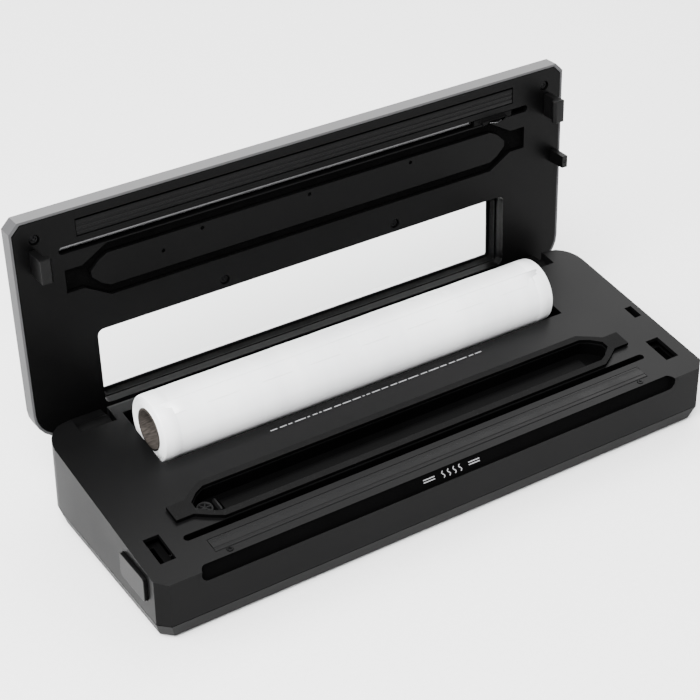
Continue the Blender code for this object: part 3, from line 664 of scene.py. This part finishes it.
def ring_sweep(name, outline, section, look, body, matrix):
    """A closed moulding: a small section carried around an (x, u) outline, both in millimetres.

    A section point is (outward offset, n).
    """
    count = len(outline)
    flat = [Vector(point) for point in outline]
    work = bmesh.new()
    rows = []
    for k, point in enumerate(flat):
        before = (point - flat[k - 1]).normalized()
        after = (flat[(k + 1) % count] - point).normalized()
        first = Vector((before.y, -before.x))
        second = Vector((after.y, -after.x))
        out = (first + second).normalized()
        out = out / max(out.dot(first), 0.3)
        rows.append([work.verts.new(((point.x + out.x * o) * MM, (point.y + out.y * o) * MM, n * MM))
                     for o, n in section])
    size = len(section)
    for k in range(count):
        here = rows[k]
        there = rows[(k + 1) % count]
        for m in range(size):
            following = (m + 1) % size
            work.faces.new((here[m], there[m], there[following], here[following]))
    return add_piece(name, work, look, body, matrix)


def rounded_box(half, u0, u1, radius, steps=5):
    """Outline of a rectangle with round corners, anticlockwise from the right of the front side."""
    points = []
    corners = ((half - radius, u0 + radius, -90.0), (half - radius, u1 - radius, 0.0),
               (-half + radius, u1 - radius, 90.0), (-half + radius, u0 + radius, 180.0))
    for x, u, start in corners:
        for k in range(steps + 1):
            angle = math.radians(start + 90.0 * k / steps)
            points.append((x + radius * math.cos(angle), u + radius * math.sin(angle)))
    return points


def window_trim():
    """Two fine beads around the inner wall of the window housing, and the pane's dark seat."""
    outline = rounded_box(150.2, 79.5, 136.5, 2.5)
    bead = [(0.1, 12.4), (-0.7, 12.6), (-0.9, 13.2), (-0.7, 13.8), (0.1, 14.0)]
    ring_sweep("window_bead_inner", outline, bead, "shade", "lid", LID)
    seat = [(0.1, 20.2), (-1.3, 20.4), (-1.5, 21.1), (-1.3, 21.9), (0.1, 21.9)]
    ring_sweep("window_bead_outer", outline, seat, "shade", "lid", LID)


def chamber_fittings():
    """A low ridge along the chamber's floor, and a strainer with ribs and a dam at the suction port."""
    ridge = [(38.0, -9.0), (39.2, -8.1), (41.5, -7.6), (47.5, -7.6), (49.8, -8.1), (51.0, -9.0),
             (51.0, -9.1), (38.0, -9.1)]
    extruded("chamber_ridge", ridge, -128.0, 132.0, "shade", "base", DECK)
    collar = rounded_box(4.6, -4.6, 4.6, 4.4, 8)
    at = DECK @ Matrix.Translation((-0.139, 0.0465, 0.0))
    wall = [(-0.9, -9.1), (0.3, -9.1), (0.3, -5.6), (0.0, -5.2), (-0.6, -5.2), (-0.9, -5.6)]
    ring_sweep("port_collar", collar, wall, "inner", "base", at)
    for k, angle in enumerate((0.0, 60.0, 120.0)):
        turn = at @ Matrix.Rotation(math.radians(angle), 4, "Z")
        bar = [(-0.35, -6.4), (0.35, -6.4), (0.35, -5.5), (0.2, -5.3), (-0.2, -5.3), (-0.35, -5.5)]
        extruded("port_bar_%d" % k, bar, -3.9, 3.9, "inner", "base", turn)
    fin = [(40.8, -9.1), (51.8, -9.1), (50.9, -5.9), (50.0, -5.4), (42.6, -5.4), (41.7, -5.9)]
    extruded("port_dam", fin, -131.3, -130.3, "inner", "base", DECK)


def key_marks():
    """Generic signs on the keys: two bars for sealing, a ring for vacuum and a square for stop."""
    top = 12.0
    step = math.pi / 12
    ring = [(2.6 * math.cos(k * step), 24.0 + 2.6 * math.sin(k * step)) for k in range(25)]
    signs = {
        "seal": (-36.0, [[(-2.8, 22.8), (2.8, 22.8)], [(-2.8, 25.2), (2.8, 25.2)]]),
        "vacuum": (0.0, [ring, [(-0.5, 24.0), (0.5, 24.0)]]),
        "stop": (36.0, [[(-2.0, 22.0), (2.0, 22.0), (2.0, 26.0), (-2.0, 26.0), (-2.0, 22.0)]]),
    }
    for name, (x, paths) in signs.items():
        lines = [(top, [(x + a, b) for a, b in path]) for path in paths]
        strokes("mark_" + name, lines, 0.55, 0.03, "print", name + "_key", LID)


def spring(side, sign):
    """A round-wire spring behind a release button."""
    turns = 5
    steps = 16
    radius = 2.2
    wire = 0.35
    around = 8
    seat = 166.5
    axis_u = 26.2
    axis_n = -8.0
    near = seat + wire + 0.1
    far = 172.3 - wire - 0.1
    work = bmesh.new()
    rows = []
    count = turns * steps
    for k in range(count + 1):
        angle = 2.0 * math.pi * k / steps
        x = near + (far - near) * k / count
        row = []
        for m in range(around):
            spin = 2.0 * math.pi * m / around
            r = radius + wire * math.cos(spin)
            across = sign * (x + wire * math.sin(spin))
            spot = Vector((across, axis_u + r * math.cos(angle), axis_n + r * math.sin(angle)))
            row.append(work.verts.new(spot * MM))
        rows.append(row)
    for here, there in zip(rows, rows[1:]):
        for m in range(around):
            following = (m + 1) % around
            work.faces.new((here[m], there[m], there[following], here[following]))
    work.faces.new(rows[0])
    work.faces.new(list(reversed(rows[-1])))
    coil = add_piece("spring_coil_" + side, work, "dark_steel", "base", DECK)
    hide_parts("release_spring_" + side)
    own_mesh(coil)


# ---------------------------------------------------------------- stage

def stage():
    work = bmesh.new()
    bmesh.ops.create_grid(work, x_segments=1, y_segments=1, size=6.0)
    mesh = bpy.data.meshes.new("floor")
    work.to_mesh(mesh)
    work.free()
    mesh.materials.append(pale_floor("pale_floor"))
    floor = bpy.data.objects.new("floor", mesh)
    bpy.context.scene.collection.objects.link(floor)


def world():
    made = bpy.data.worlds.new("studio")
    bpy.context.scene.world = made
    made.use_nodes = True
    background = made.node_tree.nodes["Background"]
    background.inputs["Color"].default_value = (1.0, 1.0, 1.0, 1.0)
    background.inputs["Strength"].default_value = 1.3


def area(name, place, aim, size, power):
    """A rectangular softbox, in metres and watts."""
    data = bpy.data.lights.new(name, "AREA")
    data.shape = "RECTANGLE"
    data.size, data.size_y = size
    data.energy = power
    lamp = bpy.data.objects.new(name, data)
    lamp.location = place
    lamp.rotation_mode = "QUATERNION"
    lamp.rotation_quaternion = (Vector(aim) - Vector(place)).to_track_quat("-Z", "Y")
    bpy.context.scene.collection.objects.link(lamp)
    return lamp


# The camera looks at TARGET from DISTANCE metres, from the front left and above.
AZIMUTH = math.radians(-32.9752)
ELEVATION = math.radians(33.5887)
ROLL = math.radians(-0.2259)
TARGET = Vector((-0.01931, -0.01000, 0.08434))
DISTANCE = 1.08561
LENS = 94.63


def camera():
    data = bpy.data.cameras.new("camera")
    data.lens = LENS
    data.sensor_width = 36.0
    back = Vector((math.sin(AZIMUTH) * math.cos(ELEVATION), -math.cos(AZIMUTH) * math.cos(ELEVATION),
                   math.sin(ELEVATION)))
    right = Vector((0, 0, 1)).cross(back).normalized()
    up = back.cross(right)
    across = right * math.cos(ROLL) + up * math.sin(ROLL)
    above = up * math.cos(ROLL) - right * math.sin(ROLL)
    made = bpy.data.objects.new("camera", data)
    turn = Matrix((across, above, back)).transposed().to_4x4()
    made.matrix_world = Matrix.Translation(TARGET + back * DISTANCE) @ turn
    bpy.context.scene.collection.objects.link(made)
    bpy.context.scene.camera = made


camera()
stage()
world()
area("key", (-1.25, -0.95, 2.2), (0.0, 0.0, 0.0), (1.8, 1.6), 260.0)
area("left", (-2.2, 0.8, 1.3), (-0.2, 0.1, 0.0), (1.6, 1.4), 60.0)
area("rear", (1.05, 1.25, 1.70), (0.0, 0.0, 0.0), (2.4, 1.6), 56.0)
dress_cad_nodes()
film_roll()
heater_strip()
ribbed_seal()
deck_marks()
heat_symbol()
window_trim()
chamber_fittings()
key_marks()
spring("left", -1.0)
spring("right", 1.0)
